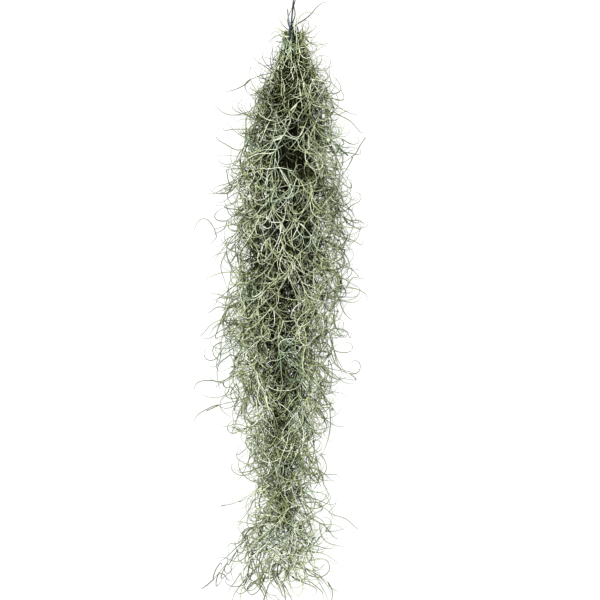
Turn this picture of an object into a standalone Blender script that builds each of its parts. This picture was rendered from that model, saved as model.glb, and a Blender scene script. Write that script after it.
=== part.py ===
"""A bunch of Spanish moss lying on a flat surface, with its tied end at +Y.

The bunch is a gathering of tresses. Each tress is a few long leafy stems grown into one another: a slim
core with thread-like leaves standing out all round. The tresses run side by side through a neck, where a
coated wire ties them, and fan out below it. The wire's long end finishes in an eye.
Lengths are in metres, the surface is at z = 0, and the origin is on it, under the middle of the bunch.
"""

import bisect
import math
import random

import bmesh
import bpy
import numpy as np
from mathutils import Vector

MM = 0.001
SEED = 11

# The neck, where the wire ties the bunch
NECK_X = 12.9 * MM
NECK_Y = 250.9 * MM
NECK_STEM = 1.7 * MM
NECK_RING = 8.0 * MM

# The bunch below the neck, at each distance from it: how far its middle lies from the neck's, half its width
# and half its height between the outermost cores, the height of its lowest core, and half the leaves' reach
BUNCH = [
    [mm * MM for mm in row]
    for row in (
        (-20, 0, 10, 7, 3.8, 24),
        (0, 0, 8, 8, 3.8, 15),
        (14, 1, 12, 11, 4.0, 27),
        (35, 0, 20, 16, 5.0, 43),
        (65, -1, 28, 21, 6.0, 60),
        (110, -5, 34, 24, 6.5, 62),
        (190, -6, 43, 28, 6.5, 68),
        (285, -13, 45, 28, 6.5, 77),
        (345, -13, 39, 25, 6.5, 68),
        (405, -11, 30, 20, 6.0, 60),
        (455, -7, 25, 16, 5.5, 50),
        (500, -7, 23, 14, 5.0, 48),
        (545, -13, 26, 13, 4.5, 58),
        (580, -20, 24, 11, 4.0, 62),
    )
]
LEAVES_ABOVE = 15 * MM

# The tresses, ring by ring: how many, the ring's share of the bundle's size, and the first one's bearing
RINGS = ((1, 0.0, 0.0), (6, 0.5, 0.0), (12, 1.0, 15.0))
OUTER_RING = 2
SHORT_BEARINGS = (15, 105, 165, 195, 285, 345)
SHORT_LENGTHS = (330 * MM, 400 * MM)
LONG_LENGTHS = (510 * MM, 536 * MM)
STUB = 12 * MM
NECK_END = 6 * MM

# One tress trails on past the others at the free end and drifts to the side
TAIL_BEARING = 180
TAIL_LENGTH = 560 * MM
TAIL_START = 455 * MM
TAIL_DRIFT = -24 * MM
END_OF_LEAVES = 556 * MM
END_OF_TAIL = 574 * MM

# A tress's core
CORE_SIDES = 5
CORE_STEM = 2.6 * MM
CORE_TIP = 0.9 * MM
CORE_FULL_AT = 70 * MM
CORE_THINS_AT = 0.55
INTERNODE = 24 * MM
WANDER = 3.2 * MM
KINK = 1.4 * MM
WAVELENGTHS = (70 * MM, 120 * MM)

# The leaves
LEAF_SIDES = 3
LEAF_JOINTS = 3
LEAF_STEM = 0.6 * MM
LEAF_LENGTHS = (28 * MM, 47 * MM)
LEAF_OPENING = (20, 75)
LEAF_CURL = (35, 120)
LEAF_SPACING = (26 * MM, 22 * MM, 16 * MM)
LEAF_GAP = 0.9 * MM
LEAF_TRIES = 60
TUFT_LENGTHS = (18 * MM, 27 * MM)
PRESSED = 0.4 * MM

# The wire
WIRE_STEM = 0.65 * MM
WIRE_GAP = 0.45 * MM
WIRE_SIDE_RESOLUTION = 1
TWIST_BEARING = 110
TWIST_LENGTH = 12.5 * MM
TWIST_TURNS = 2
TWIST_STEPS = 16
LOOP_STEPS = 20
SHORT_END = 17 * MM
SHORT_LEAN = Vector((-0.12, 1.0, 0.1))
LONG_END = 34.5 * MM
LONG_LEAN = Vector((0.09, 1.0, -0.12))
EYE_RADIUS = 6 * MM
EYE_TURN = 320
EYE_STEPS = 15

MOSS_COLOUR = (0.30, 0.34, 0.21)
WIRE_COLOUR = (0.035, 0.055, 0.05)


def clear_scene():
    for obj in list(bpy.data.objects):
        bpy.data.objects.remove(obj, do_unlink=True)


def plain_material(name, colour, roughness):
    material = bpy.data.materials.new(name)
    material.use_nodes = True
    shader = material.node_tree.nodes["Principled BSDF"]
    shader.inputs["Base Color"].default_value = (*colour, 1.0)
    shader.inputs["Roughness"].default_value = roughness
    shader.inputs["Metallic"].default_value = 0.0
    return material


def add_object(name, data, material):
    data.materials.append(material)
    obj = bpy.data.objects.new(name, data)
    bpy.context.scene.collection.objects.link(obj)
    return obj


def bunch_at(below):
    """The bunch's measures at a distance below the neck, on a smooth curve through its stations."""
    places = [row[0] for row in BUNCH]
    below = min(max(below, places[0]), places[-1])
    after = min(max(bisect.bisect_right(places, below), 1), len(places) - 1)
    rows = [np.array(BUNCH[min(max(k, 0), len(BUNCH) - 1)]) for k in range(after - 2, after + 2)]
    start, end = rows[1], rows[2]
    share = (below - start[0]) / (end[0] - start[0])
    slopes = [(c - a) / (c[0] - a[0]) * (end[0] - start[0]) for a, c in ((rows[0], end), (start, rows[3]))]
    return (
        (2 * share**3 - 3 * share**2 + 1) * start
        + (share**3 - 2 * share**2 + share) * slopes[0]
        + (3 * share**2 - 2 * share**3) * end
        + (share**3 - share**2) * slopes[1]
    )[1:]


def smooth_step(share):
    share = min(max(share, 0.0), 1.0)
    return share * share * (3 - 2 * share)


class Tress:
    """One tress: its place in the bundle, how far it runs, and how it wanders on the way."""

    def __init__(self, number, ring, bearing, draw):
        self.name = f"tress_{number:02d}"
        self.ring = ring
        self.bearing = math.radians(bearing)
        share = RINGS[ring][1]
        self.across, self.up = share * math.cos(self.bearing), share * math.sin(self.bearing)
        self.is_tail = ring == 1 and bearing == TAIL_BEARING
        short = ring == OUTER_RING and bearing in SHORT_BEARINGS
        lengths = SHORT_LENGTHS if short else LONG_LENGTHS
        self.length = TAIL_LENGTH if self.is_tail else draw.uniform(*lengths)
        self.waves = [(draw.uniform(*WAVELENGTHS), draw.uniform(0, 2 * math.pi)) for _ in range(2)]
        self.nodes = self.place_nodes(draw)

    def place_nodes(self, draw):
        """The core's joints from the stub to the tip: (distance below the neck, point, radius)."""
        count = round(self.length / INTERNODE)
        places = [-STUB, 0.0, NECK_END] + [self.length * (k + 1) / count for k in range(count)]
        found = []
        for below in places:
            loose = smooth_step(below / CORE_FULL_AT)
            kink = Vector([draw.uniform(-KINK, KINK) * loose for _ in range(3)])
            found.append((below, self.centre(below) + kink, self.core_radius(below)))
        return found

    def centre(self, below):
        middle, half_width, half_height, foot, _ = bunch_at(below)
        room = WANDER * (half_width - NECK_RING) / (45 * MM - NECK_RING)
        wave = [room * math.sin(2 * math.pi * below / length + phase) for length, phase in self.waves]
        drift = 0.0
        if self.is_tail:
            drift = TAIL_DRIFT * smooth_step((below - TAIL_START) / (self.length - TAIL_START))
        return Vector(
            (
                NECK_X + middle + half_width * self.across + max(room, 0) / WANDER * wave[0] + drift,
                NECK_Y - below,
                foot + half_height * (1 + self.up) + max(room, 0) / WANDER * wave[1],
            )
        )

    def core_radius(self, below):
        if below <= 0:
            return NECK_STEM
        full = NECK_STEM + (CORE_STEM - NECK_STEM) * smooth_step(below / CORE_FULL_AT)
        thin = (below / self.length - CORE_THINS_AT) / (1 - CORE_THINS_AT)
        return full + (CORE_TIP - full) * min(max(thin, 0.0), 1.0)

    def at(self, below):
        """The point on the core's own line, its direction away from the neck, and the core's radius there."""
        after = next((k for k, node in enumerate(self.nodes) if node[0] >= below), len(self.nodes) - 1)
        (s0, p0, r0), (s1, p1, r1) = self.nodes[max(after, 1) - 1], self.nodes[max(after, 1)]
        share = (below - s0) / (s1 - s0)
        return p0.lerp(p1, share), (p1 - p0).normalized(), r0 + (r1 - r0) * share


class Crowd:
    """What already fills the bunch, as points along each line with their radii and owners."""

    STEP = 2 * MM

    def __init__(self):
        self.points = np.empty((0, 3))
        self.radii = np.empty(0)
        self.owners = np.empty(0, int)

    def spots(self, line, radii):
        """Points along a line of straight runs, a step apart, and the radius at each."""
        points, sizes = [], []
        for (a, b), (ra, rb) in zip(zip(line, line[1:]), zip(radii, radii[1:])):
            count = max(1, math.ceil((b - a).length / self.STEP))
            points += [a.lerp(b, k / count) for k in range(count)]
            sizes += [ra + (rb - ra) * k / count for k in range(count)]
        return np.array([*points, line[-1]]), np.array([*sizes, radii[-1]])

    def add(self, line, radii, owner):
        points, sizes = self.spots(line, radii)
        self.points = np.vstack([self.points, points])
        self.radii = np.append(self.radii, sizes)
        self.owners = np.append(self.owners, np.full(len(points), owner))

    def has_room(self, line, radii, owner, root_room):
        """True if the line stays a gap away from everything, its own tress counting only past its root."""
        points, sizes = self.spots(line, radii)
        away = np.linalg.norm(points[:, None] - self.points[None], axis=2) - self.radii - sizes[:, None]
        at_root = np.linalg.norm(points - points[0], axis=1) < root_room
        away[np.ix_(at_root, self.owners == owner)] = LEAF_GAP
        return bool((away >= LEAF_GAP).all())


def within_reach(point, tress):
    """True if a leaf may go there: inside the bunch's outline and short of its free end."""
    below = NECK_Y - point.y
    end = END_OF_TAIL if tress.is_tail else END_OF_LEAVES
    middle, _, half_height, foot, reach = bunch_at(below)
    drift = tress.centre(below).x - NECK_X - middle if tress.is_tail else 0.0
    across = (point.x - NECK_X - middle - min(drift, 0.0)) / reach
    up = (point.z - foot - half_height) / (half_height + LEAVES_ABOVE)
    return -32 * MM < below < end and across**2 + max(up, 0.0) ** 2 < 1


def leaf_line(root, down, out, length, opening, curl):
    """A leaf's centreline. It leaves the stem at the opening angle, bends on by the curl, and turns along the
    surface where it would pass below it."""
    line = [root]
    step = length / LEAF_JOINTS
    for joint in range(LEAF_JOINTS):
        angle = opening + curl * (joint + 0.5) / LEAF_JOINTS
        heading = math.cos(angle) * down + math.sin(angle) * out
        drop = line[-1].z + step * heading.z - PRESSED
        if drop < 0:
            heading.z = max((PRESSED - line[-1].z) / step, -0.95)
            flat = (heading.xy + 0.4 * down.xy).normalized() * math.sqrt(1 - heading.z**2)
            heading = Vector((flat.x, flat.y, heading.z))
        line.append(line[-1] + step * heading)
    return line


def leaf_radii(joints=LEAF_JOINTS):
    return [LEAF_STEM * (1 - 0.25 * k) for k in range(joints)] + [0.0]


def grow_leaf(tress, owner, below, crowd, draw):
    """Tries bearings and bends until the leaf has room. Gives its line, or None if it finds none."""
    root, down, core = tress.at(below)
    tuft = below < 0
    lengths = TUFT_LENGTHS if tuft else LEAF_LENGTHS
    if tuft:
        down = -down
    for _ in range(LEAF_TRIES):
        if tress.ring == OUTER_RING:
            bearing = tress.bearing + math.radians(draw.triangular(-150, 150, 0))
        else:
            bearing = draw.uniform(0, 2 * math.pi)
        around = Vector((math.cos(bearing), 0, math.sin(bearing)))
        out = (around - around.dot(down) * down).normalized()
        opening = math.radians(draw.uniform(*LEAF_OPENING) * (0.4 if tuft else 1.0))
        curl = math.radians(draw.uniform(*LEAF_CURL) * draw.choice((1, 1, -1)) * (0.4 if tuft else 1.0))
        line = leaf_line(root, down, out, draw.uniform(*lengths) + core, opening, curl)
        if not all(within_reach(point, tress) for point in line[1:]):
            continue
        if crowd.has_room(line, leaf_radii(), owner, core + 4 * LEAF_STEM):
            return line
    return None


def tapered_tube(name, line, radii, sides, across):
    """A closed tube of flat sides along a line, drawn to a point where its last radius is nothing. Its rings
    all start from the direction across the line."""
    bm = bmesh.new()
    rings = []
    for k, (point, radius) in enumerate(zip(line, radii)):
        if radius == 0:
            rings.append([bm.verts.new(point)])
            continue
        ahead = (line[min(k + 1, len(line) - 1)] - line[max(k - 1, 0)]).normalized()
        side = (across - across.dot(ahead) * ahead).normalized()
        over = side.cross(ahead)
        ring = []
        for corner in range(sides):
            turn = 2 * math.pi * corner / sides - math.pi / 2
            place = point + radius * (math.cos(turn) * side + math.sin(turn) * over)
            ring.append(bm.verts.new((place.x, place.y, max(place.z, 0.0))))
        rings.append(ring)
    for first, second in zip(rings, rings[1:]):
        for corner in range(sides):
            after = (corner + 1) % sides
            if len(second) == 1:
                bm.faces.new((first[corner], first[after], second[0]))
            else:
                bm.faces.new((first[corner], first[after], second[after], second[corner]))
    bm.faces.new(rings[0][::-1])
    if len(rings[-1]) > 1:
        bm.faces.new(rings[-1])
    bmesh.ops.recalc_face_normals(bm, faces=bm.faces)
    mesh = bpy.data.meshes.new(name)
    bm.to_mesh(mesh)
    bm.free()
    return mesh


def fuse(obj, meshes):
    """Joins the leaves to their tress's core, as one solid, and removes them."""
    leaves = bpy.data.collections.new(obj.name + "_leaves")
    bpy.context.scene.collection.children.link(leaves)
    for mesh in meshes:
        leaves.objects.link(bpy.data.objects.new(mesh.name, mesh))
    union = obj.modifiers.new("leaves", "BOOLEAN")
    union.operation = "UNION"
    union.operand_type = "COLLECTION"
    union.collection = leaves
    union.solver = "MANIFOLD"
    bpy.context.view_layer.update()
    joined = bpy.data.meshes.new_from_object(obj.evaluated_get(bpy.context.evaluated_depsgraph_get()))
    obj.modifiers.clear()
    obj.data = joined
    for leaf in list(leaves.objects):
        bpy.data.objects.remove(leaf, do_unlink=True)
    bpy.data.collections.remove(leaves)


def make_tresses(draw):
    tresses = []
    for ring, (count, _, first) in enumerate(RINGS):
        for k in range(count):
            tresses.append(Tress(len(tresses) + 1, ring, first + 360 / count * k, draw))
    return tresses


def leaf_places(tress, draw):
    """Where leaves leave the tress: a few in the tuft above the neck, then all the way down to its tip."""
    spacing = LEAF_SPACING[tress.ring]
    places = [-STUB * draw.uniform(0.5, 0.9)] * (2 if tress.ring == OUTER_RING else 1)
    below = draw.uniform(0.3, 1.0) * spacing
    while below < tress.length - 3 * MM:
        places.append(below)
        below += spacing * draw.uniform(0.75, 1.25)
    return places + [tress.length - 2 * MM] * 2


def build_moss(crowd):
    draw = random.Random(SEED)
    material = plain_material("moss", MOSS_COLOUR, 0.75)
    tresses = make_tresses(draw)
    for owner, tress in enumerate(tresses):
        crowd.add([node[1] for node in tress.nodes], [node[2] for node in tress.nodes], owner)
    for owner, tress in enumerate(tresses):
        leaves = []
        for below in leaf_places(tress, draw):
            line = grow_leaf(tress, owner, below, crowd, draw)
            if line:
                crowd.add(line, leaf_radii(), owner)
                across = (line[1] - line[0]).cross(line[2] - line[1])
                leaves.append(tapered_tube(f"leaf_{len(leaves)}", line, leaf_radii(), LEAF_SIDES, across))
        places, radii = [node[1] for node in tress.nodes], [node[2] for node in tress.nodes]
        core = tapered_tube(tress.name, places, radii, CORE_SIDES, Vector((1, 0, 0)))
        fuse(add_object(tress.name, core, material), leaves)


def wire_line():
    """The wire's centreline: its short end, a twist, once round the neck, the twist's other leg, the long end
    and the eye."""
    around = NECK_RING + NECK_STEM + WIRE_GAP + WIRE_STEM
    _, _, half_height, foot, _ = bunch_at(0)
    middle = Vector((NECK_X, NECK_Y, foot + half_height))
    leg = WIRE_STEM + WIRE_GAP / 2
    bearing = math.radians(TWIST_BEARING)
    top = middle + Vector(((around + leg) * math.cos(bearing), leg, (around + leg) * math.sin(bearing)))

    def twist(share, phase):
        turn = 2 * math.pi * TWIST_TURNS * share + phase + bearing - math.pi / 2
        return top + Vector((leg * math.cos(turn), 3 * leg + TWIST_LENGTH * share, leg * math.sin(turn)))

    shares = [k / TWIST_STEPS for k in range(TWIST_STEPS + 1)]
    first_leg = [twist(1 - share, math.pi) for share in shares]
    second_leg = [twist(share, 0.0) for share in shares]
    loop = []
    for k in range(1, LOOP_STEPS):
        share = k / LOOP_STEPS
        turn = bearing + 2 * math.pi * share
        offset = Vector((around * math.cos(turn), leg * (2 * share - 1), around * math.sin(turn)))
        loop.append(middle + offset)
    short_end = [first_leg[0] + length * SHORT_LEAN for length in (SHORT_END, 4 * MM)]
    crook = second_leg[-1] + LONG_END * LONG_LEAN
    long_end = [second_leg[-1].lerp(crook, k / 4) for k in range(1, 5)]
    eye = []
    for k in range(1, EYE_STEPS + 1):
        turn = math.radians(EYE_TURN * k / EYE_STEPS - 90)
        eye.append(crook + EYE_RADIUS * Vector((math.cos(turn), 1 + math.sin(turn), 0)))
    return short_end + first_leg + loop + second_leg + long_end + eye


def build_wire(crowd):
    line = wire_line()
    curve = bpy.data.curves.new("tie_wire", "CURVE")
    curve.dimensions = "3D"
    curve.bevel_depth = WIRE_STEM
    curve.bevel_resolution = WIRE_SIDE_RESOLUTION
    curve.use_fill_caps = True
    spline = curve.splines.new("POLY")
    spline.points.add(len(line) - 1)
    for point, place in zip(spline.points, line):
        point.co = (*place, 1.0)
    add_object("tie_wire", curve, plain_material("coated_wire", WIRE_COLOUR, 0.45))
    crowd.add(line, [WIRE_STEM] * len(line), -1)


def build_bunch():
    clear_scene()
    crowd = Crowd()
    build_wire(crowd)
    build_moss(crowd)


build_bunch()
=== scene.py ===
"""A bunch of Spanish moss, tied with a coated wire and laid on a pale surface, seen from straight above."""

import math
import random
from collections import namedtuple

import bpy
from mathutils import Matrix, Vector


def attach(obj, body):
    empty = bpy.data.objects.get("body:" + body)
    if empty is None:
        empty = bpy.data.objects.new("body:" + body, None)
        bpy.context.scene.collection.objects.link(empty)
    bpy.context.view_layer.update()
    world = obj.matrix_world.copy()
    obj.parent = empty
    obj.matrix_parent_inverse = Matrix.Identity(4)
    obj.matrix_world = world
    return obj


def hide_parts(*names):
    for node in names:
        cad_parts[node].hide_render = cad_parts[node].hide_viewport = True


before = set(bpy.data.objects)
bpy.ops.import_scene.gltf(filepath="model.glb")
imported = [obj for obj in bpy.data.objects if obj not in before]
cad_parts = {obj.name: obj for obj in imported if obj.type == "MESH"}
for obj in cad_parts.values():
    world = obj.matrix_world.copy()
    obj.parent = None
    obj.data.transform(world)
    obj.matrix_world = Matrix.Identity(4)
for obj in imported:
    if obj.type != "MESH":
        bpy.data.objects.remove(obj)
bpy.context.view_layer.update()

# Tresses of moss
# Each tress is several wiry stems grown into one another. A stem is a chain of short shoots, and it bends
# at its joints and puts out thread-like leaves there, which curl as they dry and are grey-green to silver.
# The tresses run side by side through a round neck, where the wire ties them, and fan out into a bundle.

MM = 0.001
NECK_X = 12.9 * MM
NECK_Y = 250.9 * MM

# The bundle by distance below the neck: its middle, half width and half height, and how high its lowest
# tress lies
BUNCH = [
    [mm * MM for mm in row]
    for row in (
        (-20, 0, 10, 7, 3.8),
        (0, 0, 8, 8, 3.8),
        (14, 1, 12, 11, 4.0),
        (35, 0, 20, 16, 5.0),
        (65, -1, 28, 21, 6.0),
        (110, -5, 34, 24, 6.5),
        (190, -6, 43, 28, 6.5),
        (285, -13, 45, 28, 6.5),
        (345, -13, 39, 25, 6.5),
        (405, -11, 30, 20, 6.0),
        (455, -7, 25, 16, 5.5),
        (500, -7, 23, 14, 5.0),
        (545, -13, 26, 13, 4.5),
        (580, -20, 24, 11, 4.0),
    )
]

# Each ring of tresses: how many, how far out as a share of the bundle's half size, and the first's bearing
RINGS = ((1, 0.0, 0.0), (6, 0.5, 0.0), (12, 1.0, 15.0))
MIDDLE_RING = 1
OUTER_RING = 2
SHORT_BEARINGS = (15, 105, 165, 195, 285, 345)
SHORT_LENGTH = 375 * MM
LONG_LENGTH = 549 * MM
FOOT_START = 430 * MM
FOOT_SPREAD = 17 * MM
FOOT_LEAN = 0.25
TAIL_BEARING = 180
TAIL_LENGTH = 562 * MM
TAIL_START = 445 * MM
TAIL_DRIFT = -32 * MM

Tress = namedtuple("Tress", "node ring across up length tail")
Stem = namedtuple("Stem", "points tint dead limp")


def bunch_at(below):
    """The bundle's middle, half width, half height and lowest tress's height at a distance below the neck."""
    below = min(max(below, BUNCH[0][0]), BUNCH[-1][0])
    start, end = next(pair for pair in zip(BUNCH, BUNCH[1:]) if below <= pair[1][0])
    share = (below - start[0]) / (end[0] - start[0])
    return [a + (b - a) * share for a, b in zip(start[1:], end[1:])]


def rise(value, start, end):
    """Goes smoothly from 0 at the start to 1 at the end."""
    share = min(max((value - start) / (end - start), 0.0), 1.0)
    return share * share * (3 - 2 * share)


def make_tresses():
    tresses = []
    for ring, (count, share, first) in enumerate(RINGS):
        for k in range(count):
            bearing = first + 360 / count * k
            tail = ring == MIDDLE_RING and bearing == TAIL_BEARING
            short = ring == OUTER_RING and bearing in SHORT_BEARINGS
            length = TAIL_LENGTH if tail else SHORT_LENGTH if short else LONG_LENGTH
            across = share * math.cos(math.radians(bearing))
            up = share * math.sin(math.radians(bearing))
            tresses.append(Tress(f"tress_{len(tresses) + 1:02d}", ring, across, up, length, tail))
    return tresses


def tress_centre(tress, below):
    """The tress's middle at a distance below the neck. Near the foot the tresses spread or drift aside."""
    middle, half_width, half_height, lowest = bunch_at(below)
    if tress.tail:
        drift = TAIL_DRIFT * rise(below, TAIL_START, tress.length)
    else:
        lean = FOOT_LEAN + (1 - FOOT_LEAN) * tress.across
        drift = FOOT_SPREAD * lean * rise(below, FOOT_START, LONG_LENGTH)
    across = NECK_X + middle + half_width * tress.across + drift
    return Vector((across, NECK_Y - below, lowest + half_height * (1 + tress.up)))


# The stems that a tress holds. A pair of numbers gives the ends of the range that chance draws from
LIVE_STEMS = 4
TAIL_EXTRA = 3
STEM_SHARES = (0.58, 0.82, 0.96, 0.99, 1.01, 1.02)  # of the tress's length, one for each stem
STUB = 12 * MM
STUB_SHARES = (0.4, 1.1)
DEAD_STEMS = (8, 5, 1)  # in each ring
DEAD_LENGTH = 350 * MM
DEAD_SHARES = (0.4, 1.1)
DEAD_START = 50 * MM
SHOOT_LENGTH = 27 * MM
SHOOT_SHARES = (0.75, 1.2)
JOINT_TURNS = (0.9, 2.6)  # in radians
JOINT_PLACES = (0.15, 1.0)  # squares of the share of the way out
LOWEST = 2.0 * MM

# How far a stem's joints lie from the middle of its tress
NECK_ROAM = 0.96 * MM
STEM_ROAM = 16.5 * MM
DEAD_ROAM = 8.25 * MM
ROAM_START = -4 * MM
ROAM_FULL = 44 * MM
ROAM_FLATNESS = 0.8
SPLAY_LEAST = 0.6
SPLAY_WIDTH = 75 * MM
FOOT_SPLAY = 0.75
FOOT_SPLAY_START = 405 * MM
FOOT_SPLAY_FULL = 510 * MM


def stem_points(tress, draw, dead):
    """The joints of one stem, which zigzags inside its tress and lies close to the others at the neck. A
    dead one is shorter and keeps to the tress's middle."""
    length = tress.length * draw.choice(STEM_SHARES)
    if dead:
        length = min(length, DEAD_LENGTH * draw.uniform(*DEAD_SHARES))
    below = draw.uniform(0, DEAD_START) if dead else -STUB * draw.uniform(*STUB_SHARES)
    turn = draw.uniform(0, 2 * math.pi)
    points = []
    while below < length:
        roam = NECK_ROAM + (DEAD_ROAM if dead else STEM_ROAM) * rise(below, ROAM_START, ROAM_FULL)
        turn += draw.uniform(*JOINT_TURNS) * draw.choice((1, -1))
        splay = SPLAY_LEAST + bunch_at(below)[1] / SPLAY_WIDTH
        splay += FOOT_SPLAY * rise(below, FOOT_SPLAY_START, FOOT_SPLAY_FULL)
        away = roam * splay * math.sqrt(draw.uniform(*JOINT_PLACES))
        beside = Vector((math.cos(turn), 0.0, math.sin(turn) * ROAM_FLATNESS)) * away
        point = tress_centre(tress, below) + beside
        point.z = max(point.z, LOWEST)
        points.append(point)
        below += SHOOT_LENGTH * draw.uniform(*SHOOT_SHARES)
    return points


STRAY_SHOOTS = 6
STRAY_START = 25 * MM
STRAY_HEADING = ((0.5, 1.0), (-0.1, -0.9), (-0.4, 0.4))
STRAY_BEND = ((-0.7, 0.7), (-0.9, 0.3), (-0.5, 0.4))
STRAY_JOINTS = (2, 3, 3)
STRAY_STEP = (8, 13)


def stray_points(tress, draw):
    """A side shoot that leaves an outer tress and reaches out of the bunch, bending down on its way."""

    def any_vector(ranges):
        return Vector([draw.uniform(*ends) for ends in ranges])

    points = [tress_centre(tress, draw.uniform(STRAY_START, tress.length))]
    heading = any_vector(STRAY_HEADING)
    heading.x *= 1 if tress.across > 0 else -1
    heading.normalize()
    for _ in range(draw.choice(STRAY_JOINTS)):
        points.append(points[-1] + heading * draw.uniform(*STRAY_STEP) * MM)
        points[-1].z = max(points[-1].z, LOWEST)
        heading = (heading + any_vector(STRAY_BEND)).normalized()
    return points


TUFT_ROOT = 8 * MM
TUFT_SHARES = (0.3, 1.3)
TUFT_LEAN = (-6, 2)
TUFT_LIMP = 0.4
TUFT_EVERY = 3
TOP_TUFTS = 2
TOP_UP = 0.9


def tuft_points(tress, draw):
    """A short end that stands up out of the neck and leans, mostly inwards."""
    lean = Vector((tress.across * draw.uniform(*TUFT_LEAN), 0.0, tress.up * draw.uniform(*TUFT_LEAN))) * MM
    tip = tress_centre(tress, -STUB * draw.uniform(*TUFT_SHARES)) + lean
    root = tress_centre(tress, TUFT_ROOT)
    return [root, root.lerp(tip, 0.5), tip]


def tuft_count(number, tress):
    """A tress in three has a tuft, and those on top of the neck have two more."""
    return (1 if number % TUFT_EVERY == 0 else 0) + (TOP_TUFTS if tress.up > TOP_UP else 0)


# How deep the painted shade inside the bunch goes, and how short leaves stay where the stems crowd at the
# neck
NECK_MARGIN = 3 * MM
MARGIN_GROWTH = 9 * MM
MARGIN_START = -5 * MM
MARGIN_FULL = 65 * MM
CORE_HEIGHT = 9 * MM
CORE_FADE = 0.41
CORE_FADE_START = 210 * MM
CORE_FADE_END = 410 * MM
NECK_REACH = 0.4
REACH_START = -20 * MM
REACH_FULL = 55 * MM


def joint_fields(point, stem):
    """What a joint passes on to its leaves: the stem's tint, whether it is dead, how limp its leaves are,
    how deep in the bunch it lies, how far below its top and off its middle, and how far leaves reach."""
    below = NECK_Y - point.y
    middle, half_width, half_height, lowest = bunch_at(below)
    margin = NECK_MARGIN + MARGIN_GROWTH * rise(below, MARGIN_START, MARGIN_FULL)
    across = (point.x - NECK_X - middle) / (half_width + margin)
    up = (point.z - lowest - half_height) / (half_height + margin)
    fade = CORE_FADE * rise(below, CORE_FADE_START, CORE_FADE_END)
    core = min(1.0, half_height / CORE_HEIGHT) * (1 - fade)
    reach = NECK_REACH + (1 - NECK_REACH) * rise(below, REACH_START, REACH_FULL)
    return {
        "tint": stem.tint,
        "dead": stem.dead,
        "depth": max(0.0, 1 - math.hypot(across, up)) * core,
        "low": 0.5 - 0.5 * up,
        "reach": 1.0 if stem.limp == TUFT_LIMP else reach,
        "limp": stem.limp,
        "edge": abs(across),
    }


def guide_mesh(name, stems):
    """The stems as chains of edges, with the joints' fields as attributes."""
    points, edges, joints = [], [], []
    for stem in stems:
        edges += [(len(points) + k, len(points) + k + 1) for k in range(len(stem.points) - 1)]
        points += stem.points
        joints += [joint_fields(point, stem) for point in stem.points]
    mesh = bpy.data.meshes.new(name)
    mesh.from_pydata(points, edges, [])
    for field in joints[0]:
        values = [joint[field] for joint in joints]
        mesh.attributes.new(field, "FLOAT", "POINT").data.foreach_set("value", values)
    return mesh


class Value:
    """An output of a node. A sum, difference, product or quotient of values adds the Math node that works
    it out, or the Vector Math one if either side is a vector."""

    def __init__(self, graph, socket):
        self.graph, self.socket = graph, socket

    def join(self, operation, first, second):
        arrows = [isinstance(side, Vector) or getattr(side, "is_vector", False) for side in (first, second)]
        if operation == "MULTIPLY" and arrows[0] != arrows[1]:
            arrow, number = (first, second) if arrows[0] else (second, first)
            inputs = {0: arrow, "Scale": number}
            return self.graph.node("ShaderNodeVectorMath", {"operation": "SCALE"}, inputs)[0]
        kind = "ShaderNodeVectorMath" if any(arrows) else "ShaderNodeMath"
        return self.graph.node(kind, {"operation": operation}, {0: first, 1: second})[0]

    @property
    def is_vector(self):
        return self.socket.type == "VECTOR"

    def __add__(self, other):
        return self.join("ADD", self, other)

    def __sub__(self, other):
        return self.join("SUBTRACT", self, other)

    def __rsub__(self, other):
        return self.join("SUBTRACT", other, self)

    def __mul__(self, other):
        return self.join("MULTIPLY", self, other)

    def __truediv__(self, other):
        return self.join("DIVIDE", self, other)

    def __pow__(self, other):
        return self.join("POWER", self, other)

    __radd__ = __add__
    __rmul__ = __mul__


class Graph:
    """A node tree that is being built."""

    def __init__(self, tree):
        self.tree = tree

    def node(self, kind, settings=(), inputs=()):
        """Adds a node and gives its outputs. Its settings are set first, then the values and links of its
        sockets, by name or number."""
        node = self.tree.nodes.new(kind)
        for name, value in dict(settings).items():
            setattr(node, name, value)
        for key, value in dict(inputs).items():
            self.feed(self.find(node.inputs, key), value)
        return [Value(self, socket) for socket in node.outputs if socket.enabled]

    def find(self, sockets, key):
        if isinstance(key, int):
            return sockets[key]
        return next(socket for socket in sockets if socket.name == key and socket.enabled)

    def feed(self, socket, value):
        if isinstance(value, Value):
            self.tree.links.new(value.socket, socket)
        else:
            socket.default_value = value


def maths(value, operation, *others):
    """A Math node for what has no sign of its own, such as a sine."""
    inputs = {0: value} | {k + 1: other for k, other in enumerate(others)}
    return value.graph.node("ShaderNodeMath", {"operation": operation}, inputs)[0]


TREE_INPUTS = {
    "Stems": "NodeSocketGeometry",
    "Seed": "NodeSocketInt",
    "Leaf Spacing": "NodeSocketFloat",
    "Shortest Leaf": "NodeSocketFloat",
    "Longest Leaf": "NodeSocketFloat",
    "Leaf Thickness": "NodeSocketFloat",
    "Stem Thickness": "NodeSocketFloat",
    "Curl": "NodeSocketFloat",
    "Leaves at a Joint": "NodeSocketInt",
    "Settled Height": "NodeSocketFloat",
    "Left Reach": "NodeSocketFloat",
    "Right Reach": "NodeSocketFloat",
    "Foot Reach": "NodeSocketFloat",
    "Material": "NodeSocketMaterial",
}

# Stems
STEM_STEP = 5 * MM
SIDES = 4
STEM_TAPER = 0.45
STEM_TINT = 0.7
DEAD_THINNING = 0.35

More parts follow.
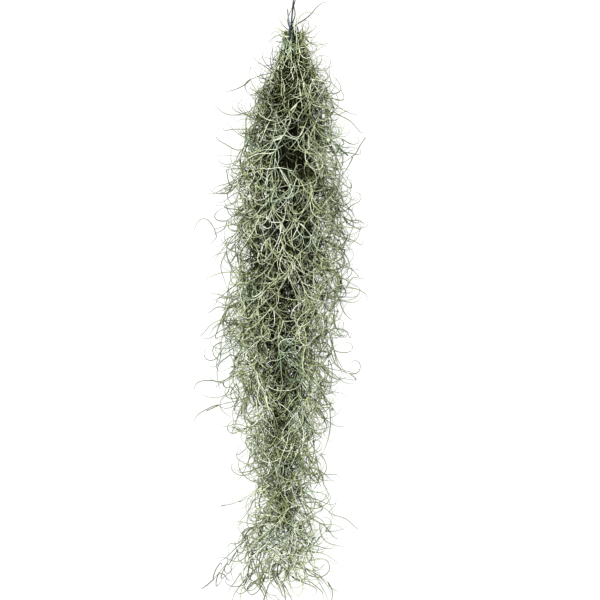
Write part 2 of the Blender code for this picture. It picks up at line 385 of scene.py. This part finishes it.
# Leaves, with angles in radians. A pair of numbers gives the ends of a range
LEAF_STEPS = 10
FULL_TURN = 2 * math.pi
LEAF_APART = FULL_TURN / 2.4
LEAF_ASTRAY = 0.6
LEAF_OPENING = (0.1, 1.25)
CROWDED_OPENING = 0.5
LEAF_BEND = (0.05, 1.0)
BEND_GAIN = 0.5
BENT_ONE_WAY = 0.68
LEAF_ROLL = 2.6
LEAF_SWAY = 0.7
SWAY_TURN = 7.0
LEAF_SAG = Vector((0.0, -0.17, 0.0))
CROWDED_SPAN = 0.4
LEAF_TAPER = 0.85
LEAF_TAPER_POWER = 1.6
LEAF_OWN_TINT = 0.6

# How leaves and stems settle: the blends are the lengths over which a limit takes hold
REST_SHARE = 0.6
REST_BLEND = 4 * MM
SINKING = 0.55
SINKING_BLEND = 10 * MM
REACH_BLEND = 20 * MM


def leafy_stem_tree():
    """The tree that turns stem guides into round stems with curling, tapering leaves."""
    tree = bpy.data.node_groups.new("leafy_stems", "GeometryNodeTree")
    for name, kind in TREE_INPUTS.items():
        tree.interface.new_socket(name, in_out="INPUT", socket_type=kind)
    tree.interface.new_socket("Geometry", in_out="OUTPUT", socket_type="NodeSocketGeometry")
    g = Graph(tree)
    given = dict(zip(TREE_INPUTS, g.node("NodeGroupInput")))

    def chance(low, high, number, salt):
        inputs = {"Min": low, "Max": high, "ID": number, "Seed": given["Seed"] + salt}
        return g.node("FunctionNodeRandomValue", {"data_type": "FLOAT"}, inputs)[0]

    def vector(operation, first, second):
        return g.node("ShaderNodeVectorMath", {"operation": operation}, {0: first, 1: second})[0]

    def keep(geometry, **fields):
        """Holds each field as it is on this geometry, for use on what is made from it."""
        node = tree.nodes.new("GeometryNodeCaptureAttribute")
        kinds = {"VECTOR": "VECTOR", "INT": "INT"}
        for name, field in fields.items():
            node.capture_items.new(kinds.get(field.socket.type, "FLOAT"), name)
        g.feed(node.inputs["Geometry"], geometry)
        for name, field in fields.items():
            g.feed(node.inputs[name], field)
        return Value(g, node.outputs["Geometry"]), [Value(g, node.outputs[name]) for name in fields]

    def named(name):
        return g.node("GeometryNodeInputNamedAttribute", {"data_type": "FLOAT"}, {"Name": name})[0]

    def store(geometry, name, field):
        inputs = {"Geometry": geometry, "Name": name, "Value": field}
        settings = {"data_type": "FLOAT", "domain": "POINT"}
        return g.node("GeometryNodeStoreNamedAttribute", settings, inputs)[0]

    def settle(geometry, thickness):
        """What would pass below the surface lies on it, what stands high sinks under its own weight, and
        what would reach past the sides or the foot of the bunch turns in."""
        parts = g.node("ShaderNodeSeparateXYZ", {}, {0: g.node("GeometryNodeInputPosition")[0]})
        height = maths(parts[2], "SMOOTH_MAX", thickness * REST_SHARE, REST_BLEND)
        above = maths(height - given["Settled Height"], "SMOOTH_MAX", 0.0, SINKING_BLEND)
        height = height - SINKING * above
        across = maths(parts[0], "SMOOTH_MIN", given["Right Reach"], REACH_BLEND)
        across = maths(across, "SMOOTH_MAX", given["Left Reach"], REACH_BLEND)
        onward = maths(parts[1], "SMOOTH_MAX", given["Foot Reach"], REACH_BLEND)
        place = g.node("ShaderNodeCombineXYZ", {}, {0: across, 1: onward, 2: height})[0]
        return g.node("GeometryNodeSetPosition", {}, {"Geometry": geometry, "Position": place})[0]

    def sweep(curves, thickness, taper):
        """A round rod along each curve, closed at both ends. A dead one has shrunk."""
        girth = given[thickness] * 0.5 * taper * (1.0 - DEAD_THINNING * named("dead"))
        inputs = {"Curve": curves, "Profile Curve": ring, "Scale": girth, "Fill Caps": True}
        return g.node("GeometryNodeCurveToMesh", {}, inputs)[0]

    index = g.node("GeometryNodeInputIndex")[0]
    circle = {"Resolution": SIDES, "Radius": 1.0}
    ring = g.node("GeometryNodeCurvePrimitiveCircle", {"mode": "RADIUS"}, circle)[0]

    # The stems, smooth through their joints
    curves = g.node("GeometryNodeMeshToCurve", {}, {"Mesh": given["Stems"]})[0]
    curves = g.node("GeometryNodeCurveSplineType", {"spline_type": "CATMULL_ROM"}, {"Curve": curves})[0]
    even = {"Curve": curves, "Length": STEM_STEP}
    curves = g.node("GeometryNodeResampleCurve", {"mode": "LENGTH"}, even)[0]
    curves = settle(curves, given["Stem Thickness"])
    along = g.node("GeometryNodeSplineParameter")[0]
    stems = store(curves, "along", 0.0)
    stems = store(stems, "tint", named("tint") * STEM_TINT)
    stems = sweep(stems, "Stem Thickness", 1.0 - STEM_TAPER * along)

    # The joints that leaves grow from, and the leaves of each. Fewer grow where the stems are crowded
    spacing = {"Curve": curves, "Length": given["Leaf Spacing"]}
    joints, tangent, normal = g.node("GeometryNodeCurveToPoints", {"mode": "LENGTH"}, spacing)[:3]
    turn = chance(0.0, FULL_TURN, index, salt=1)
    joints, (onward, side, turn) = keep(joints, onward=tangent, side=normal, turn=turn)
    copies = {"Geometry": joints, "Amount": given["Leaves at a Joint"]}
    leaves, copy = g.node("GeometryNodeDuplicateElements", {"domain": "POINT"}, copies)[:2]
    crowded = maths(chance(0.0, 1.0, index, salt=11) - named("reach"), "GREATER_THAN", 0.0)
    crowd = {"Geometry": leaves, "Selection": crowded}
    leaves = g.node("GeometryNodeDeleteGeometry", {"domain": "POINT"}, crowd)[0]

    # How each leaf leaves its joint, bends, rolls and sways, how long it is, and its shade
    about = turn + copy * LEAF_APART + chance(-LEAF_ASTRAY, LEAF_ASTRAY, index, salt=2)
    across = vector("CROSS_PRODUCT", onward, side)
    outward = side * maths(about, "COSINE") + across * maths(about, "SINE")
    flat = vector("CROSS_PRODUCT", onward, outward)
    opening = chance(*LEAF_OPENING, index, salt=3)
    opening = opening * (CROWDED_OPENING + (1 - CROWDED_OPENING) * named("reach"))
    way = 1.0 - 2.0 * maths(chance(0.0, 1.0, index, salt=5), "GREATER_THAN", BENT_ONE_WAY)
    bend = given["Curl"] * named("limp") * chance(*LEAF_BEND, index, salt=4) * way
    span = chance(given["Shortest Leaf"], given["Longest Leaf"], index, salt=7)
    span = span * (CROWDED_SPAN + (1 - CROWDED_SPAN) * named("reach"))
    leaves, (leaf, root, onward, outward, flat, opening, bend, roll, sway, span, shade) = keep(
        leaves,
        leaf=index,
        root=g.node("GeometryNodeInputPosition")[0],
        onward=onward,
        outward=outward,
        flat=flat,
        opening=opening,
        bend=bend,
        roll=chance(-LEAF_ROLL, LEAF_ROLL, index, salt=6),
        sway=chance(-LEAF_SWAY, LEAF_SWAY, index, salt=10),
        span=span,
        shade=chance(0.0, 1.0, index, salt=8),
    )

    # Each leaf: its first point is at the joint, and the headings of the rest turn step by step
    copies = {"Geometry": leaves, "Amount": LEAF_STEPS + 1}
    spots, step = g.node("GeometryNodeDuplicateElements", {"domain": "POINT"}, copies)[:2]
    part = step / LEAF_STEPS
    angle = opening + bend * part * (1.0 + BEND_GAIN * part) + sway * maths(part * SWAY_TURN, "SINE")
    spin = roll * part
    aside = outward * maths(spin, "COSINE") + flat * maths(spin, "SINE")
    heading = onward * maths(angle, "COSINE") + aside * maths(angle, "SINE") + LEAF_SAG
    heading = g.node("ShaderNodeVectorMath", {"operation": "NORMALIZE"}, {0: heading})[0]
    stride = heading * (span * maths(step, "GREATER_THAN", 0.5) / LEAF_STEPS)
    settings = {"data_type": "FLOAT_VECTOR", "domain": "POINT"}
    total = g.node("GeometryNodeAccumulateField", settings, {"Value": stride, "Group ID": leaf})[0]
    spots = g.node("GeometryNodeSetPosition", {}, {"Geometry": spots, "Position": root + total})[0]
    spots = store(spots, "along", part)
    spots = store(spots, "tint", shade * LEAF_OWN_TINT + named("tint") * (1 - LEAF_OWN_TINT))
    spots, (part,) = keep(spots, part=part)
    threads = {"Points": spots, "Curve Group ID": leaf, "Weight": part}
    leaves = settle(g.node("GeometryNodePointsToCurves", {}, threads)[0], given["Leaf Thickness"])
    leaves = sweep(leaves, "Leaf Thickness", 1.0 - LEAF_TAPER * part ** LEAF_TAPER_POWER)

    both = g.node("GeometryNodeJoinGeometry")[0]
    for made in (leaves, stems):
        tree.links.new(made.socket, both.socket.node.inputs[0])
    smooth = g.node("GeometryNodeSetShadeSmooth", {}, {0: both})[0]
    solid = g.node("GeometryNodeRealizeInstances", {}, {0: smooth})[0]
    dressed = g.node("GeometryNodeSetMaterial", {}, {"Geometry": solid, "Material": given["Material"]})[0]
    tree.links.new(dressed.socket, tree.nodes.new("NodeGroupOutput").inputs[0])
    return tree


def grow(name, guides, tree, sizes):
    """Runs a tree on the guides and gives what it makes, as a plain mesh object."""
    obj = bpy.data.objects.new(name, guides)
    bpy.context.scene.collection.objects.link(obj)
    modifier = obj.modifiers.new("growth", "NODES")
    modifier.node_group = tree
    for item in tree.interface.items_tree:
        if item.in_out == "INPUT" and item.name in sizes:
            modifier[item.identifier] = sizes[item.name]
    made = bpy.data.meshes.new_from_object(obj.evaluated_get(bpy.context.evaluated_depsgraph_get()))
    obj.modifiers.clear()
    obj.data = made
    made.name = name
    return obj


LEAF_GREEN = (0.280, 0.320, 0.152, 1)
BLUE_GREEN = (0.180, 0.280, 0.190, 1)
PALE_LEAF = (0.565, 0.580, 0.490, 1)
OLD_LEAF = (0.095, 0.110, 0.042, 1)
SILVER_SCALE = (0.565, 0.580, 0.495, 1)
# Painted light and shade: the next five colours darken the lower part, the sides and the inside of the bunch,
# and lighten its top
UNDERSIDE_PAINTED_SHADE = (0.120, 0.142, 0.066, 1)
CREST_PAINTED_LIGHT = (0.58, 0.595, 0.515, 1)
EDGE_PAINTED_SHADE = (0.075, 0.100, 0.072, 1)
INNER_PAINTED_SHADE = (0.062, 0.075, 0.026, 1)
DEEP_PAINTED_SHADE = (0.010, 0.011, 0.004, 1)
BARK = (0.052, 0.060, 0.020, 1)
INNER_BARK_AND_SHADE = (0.004, 0.004, 0.002, 1)
BARK_SCALE = (0.050, 0.046, 0.022, 1)
PATCHES_PER_METRE = 26.0
SCALES_PER_METRE = 900.0
NOISE_DETAIL = 2.0
SCALE_HEIGHT = 0.2 * MM
SCALE_STRENGTH = 0.35
LEAF_ROUGHNESS = 0.62
SCALE_ROUGHNESS = 0.25
LEAF_SPECULAR = 0.04


def leaf_material():
    """Grey-green leaf with silver scales, dark where it is old, with painted light on top of the bunch and
    painted shade below it, at its sides and deep inside.
    """
    material = bpy.data.materials.new("moss_leaf")
    material.use_nodes = True
    g = Graph(material.node_tree)
    shader = material.node_tree.nodes["Principled BSDF"]
    along, tint, depth, low, edge, dead = (
        g.node("ShaderNodeAttribute", {"attribute_name": name})[2]
        for name in ("along", "tint", "depth", "low", "edge", "dead")
    )
    place = g.node("ShaderNodeTexCoord")[3]

    def noise(scale):
        inputs = {"Vector": place, "Scale": scale, "Detail": NOISE_DETAIL}
        return g.node("ShaderNodeTexNoise", {}, inputs)[0]

    def mix(factor, first, second):
        inputs = {"Factor": factor, "A": first, "B": second}
        return g.node("ShaderNodeMix", {"data_type": "RGBA"}, inputs)[0]

    def ramp(value, start, end):
        """Goes smoothly from 0 where the value is at the start to 1 where it is at the end."""
        inputs = {"Value": value, "From Min": start, "From Max": end}
        return g.node("ShaderNodeMapRange", {"interpolation_type": "SMOOTHSTEP"}, inputs)[0]

    scales = noise(SCALES_PER_METRE)
    inside = depth * (1.0 - 0.5 * along)

    # What lies over the green of a leaf, one over the other: how much of it shows, and its colour. The last
    # five are painted light and shade.
    coats = (
        (ramp(noise(PATCHES_PER_METRE), 0.52, 0.64) * 0.75, BLUE_GREEN),
        (ramp(tint, 0.50, 0.85), PALE_LEAF),
        (ramp(tint, 0.45, 0.12) * 0.9, OLD_LEAF),
        (ramp(scales, 0.40, 0.62) * 0.22 + ramp(along, 0.55, 1.0) * 0.05, SILVER_SCALE),
        # painted shade on the lower part of the bunch
        (ramp(low, 0.22, 0.72) * 0.66, UNDERSIDE_PAINTED_SHADE),
        # painted light: the top of the bunch is paler
        (ramp(low, 0.25, 0.06) * 0.30, CREST_PAINTED_LIGHT),
        # painted shade on the outer sides of the bunch, strongest towards the leaf tips
        (ramp(edge, 0.50, 1.15) * (0.35 + 0.35 * along), EDGE_PAINTED_SHADE),
        # painted shade deep inside the bunch, darkest near the stems
        (ramp(inside, 0.16, 0.42) * 0.75, INNER_PAINTED_SHADE),
        (ramp(inside, 0.27, 0.50), DEEP_PAINTED_SHADE),
    )
    leaf = LEAF_GREEN
    for cover, colour in coats:
        leaf = mix(cover, leaf, colour)
    # Dead stems are dark brown to black. Deeper in the bunch they grow darker still, partly the black of old
    # fibres and partly painted shade
    bark = mix(ramp(depth, 0.18, 0.42), BARK, INNER_BARK_AND_SHADE)
    bark = mix(scales * 0.3, bark, BARK_SCALE)
    g.feed(shader.inputs["Base Color"], mix(dead, leaf, bark))
    g.feed(shader.inputs["Roughness"], LEAF_ROUGHNESS + SCALE_ROUGHNESS * scales)
    relief = {"Strength": SCALE_STRENGTH, "Distance": SCALE_HEIGHT, "Height": scales}
    g.feed(shader.inputs["Normal"], g.node("ShaderNodeBump", {}, relief)[0])
    shader.inputs["Specular IOR Level"].default_value = LEAF_SPECULAR
    return material


def tress_stems(number, tress, draw):
    """The stems of one tress: live and dead ones, short ends at the neck and, on the outside, side shoots."""
    stems = []
    for _ in range(LIVE_STEMS + (TAIL_EXTRA if tress.tail else 0)):
        stems.append(Stem(stem_points(tress, draw, dead=False), draw.random(), dead=0.0, limp=1.0))
    for _ in range(DEAD_STEMS[tress.ring]):
        stems.append(Stem(stem_points(tress, draw, dead=True), draw.random(), dead=1.0, limp=1.0))
    for _ in range(tuft_count(number, tress)):
        stems.append(Stem(tuft_points(tress, draw), draw.random(), dead=0.0, limp=TUFT_LIMP))
    for _ in range(STRAY_SHOOTS if tress.ring == OUTER_RING else 0):
        stems.append(Stem(stray_points(tress, draw), draw.random(), dead=0.0, limp=1.0))
    return stems


MOSS_SIZES = {
    "Leaf Spacing": 18.5 * MM,
    "Shortest Leaf": 26 * MM,
    "Longest Leaf": 56 * MM,
    "Leaf Thickness": 1.0 * MM,
    "Stem Thickness": 0.85 * MM,
    "Curl": 3.3,
    "Leaves at a Joint": 2,
    "Settled Height": 56 * MM,
    "Left Reach": -90 * MM,
    "Right Reach": 88 * MM,
    "Foot Reach": -338 * MM,
}
STEM_SEED = 7
LEAF_SEED_STEP = 10

draw = random.Random(STEM_SEED)
leafy_stems = leafy_stem_tree()
leaf_finish = leaf_material()
for number, tress in enumerate(make_tresses()):
    guides = guide_mesh(tress.node + "_guides", tress_stems(number, tress, draw))
    sizes = MOSS_SIZES | {"Seed": LEAF_SEED_STEP * number, "Material": leaf_finish}
    moss = grow(tress.node.replace("tress", "moss"), guides, leafy_stems, sizes)
    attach(moss, "root")
    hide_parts(tress.node)

# The tie wire
# One length of plastic-coated garden wire goes once round the neck and is twisted on itself above it. Its
# short end is cut off and its long end is bent into an eye.

WIRE_DARK = (0.018, 0.030, 0.032, 1)
WIRE_WORN = (0.040, 0.058, 0.060, 1)
WEAR_PER_METRE = 420.0
WEAR_DETAIL = 3.0
WEAR_DEPTH = 0.1 * MM
WEAR_STRENGTH = 0.2
WIRE_ROUGHNESS = 0.32
WEAR_ROUGHNESS = 0.2


def wire_material():
    material = bpy.data.materials.new("coated_wire")
    material.use_nodes = True
    g = Graph(material.node_tree)
    shader = material.node_tree.nodes["Principled BSDF"]
    place = g.node("ShaderNodeTexCoord")[3]
    spots = {"Vector": place, "Scale": WEAR_PER_METRE, "Detail": WEAR_DETAIL}
    wear = g.node("ShaderNodeTexNoise", {}, spots)[0]
    colour = {"Factor": wear, "A": WIRE_DARK, "B": WIRE_WORN}
    g.feed(shader.inputs["Base Color"], g.node("ShaderNodeMix", {"data_type": "RGBA"}, colour)[0])
    g.feed(shader.inputs["Roughness"], WIRE_ROUGHNESS + WEAR_ROUGHNESS * wear)
    relief = {"Strength": WEAR_STRENGTH, "Distance": WEAR_DEPTH, "Height": wear}
    g.feed(shader.inputs["Normal"], g.node("ShaderNodeBump", {}, relief)[0])
    return material


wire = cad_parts["tie_wire"]
wire.data.materials.clear()
wire.data.materials.append(wire_material())

# The surface, the light and the camera
# The bunch lies on a plain white surface, bright enough to show no edge and little shadow, under two
# softboxes. The camera looks straight down on it. Lengths are in metres, apart from the lens and its sensor
# in millimetres, and powers are in watts.

FLOOR_HALF = 4
FLOOR_COLOUR = (0.065, 0.065, 0.065, 1)
FLOOR_ROUGHNESS = 0.8
FLOOR_GLOW = 0.90
WHITE = (1, 1, 1, 1)
KEY = {"place": (-0.35, 0.50, 2.85), "size": 0.6, "power": 215}
FILL = {"place": (0.9, -0.5, 1.7), "size": 1.0, "power": 8}
ROOM_LIGHT = 0.1
CAMERA_PLACE = (19.0 * MM, -14.3 * MM, 2330 * MM)
LENS = 135
SENSOR = 36
GAMMA = 0.78


def floor_material():
    material = bpy.data.materials.new("floor_paint")
    material.use_nodes = True
    shader = material.node_tree.nodes["Principled BSDF"]
    shader.inputs["Base Color"].default_value = FLOOR_COLOUR
    shader.inputs["Roughness"].default_value = FLOOR_ROUGHNESS
    shader.inputs["Emission Color"].default_value = WHITE
    shader.inputs["Emission Strength"].default_value = FLOOR_GLOW
    return material


def add_floor():
    corners = [(x * FLOOR_HALF, y * FLOOR_HALF, 0.0) for x, y in ((-1, -1), (1, -1), (1, 1), (-1, 1))]
    mesh = bpy.data.meshes.new("floor")
    mesh.from_pydata(corners, [], [(0, 1, 2, 3)])
    mesh.materials.append(floor_material())
    floor = bpy.data.objects.new("floor", mesh)
    bpy.context.scene.collection.objects.link(floor)


def add_softbox(name, place, size, power):
    """A square light that faces the middle of the surface."""
    light = bpy.data.lights.new(name, "AREA")
    light.size = size
    light.energy = power
    obj = bpy.data.objects.new(name, light)
    obj.location = place
    obj.rotation_euler = (-Vector(place)).to_track_quat("-Z", "Y").to_euler()
    bpy.context.scene.collection.objects.link(obj)


add_floor()
add_softbox("key_softbox", **KEY)
add_softbox("fill_softbox", **FILL)

room = bpy.data.worlds.new("studio")
room.use_nodes = True
room.node_tree.nodes["Background"].inputs["Color"].default_value = WHITE
room.node_tree.nodes["Background"].inputs["Strength"].default_value = ROOM_LIGHT
bpy.context.scene.world = room

camera = bpy.data.objects.new("camera", bpy.data.cameras.new("camera"))
camera.location = CAMERA_PLACE
camera.data.lens = LENS
camera.data.sensor_width = SENSOR
bpy.context.scene.collection.objects.link(camera)
bpy.context.scene.camera = camera
bpy.context.scene.view_settings.view_transform = "Standard"
bpy.context.scene.view_settings.gamma = GAMMA
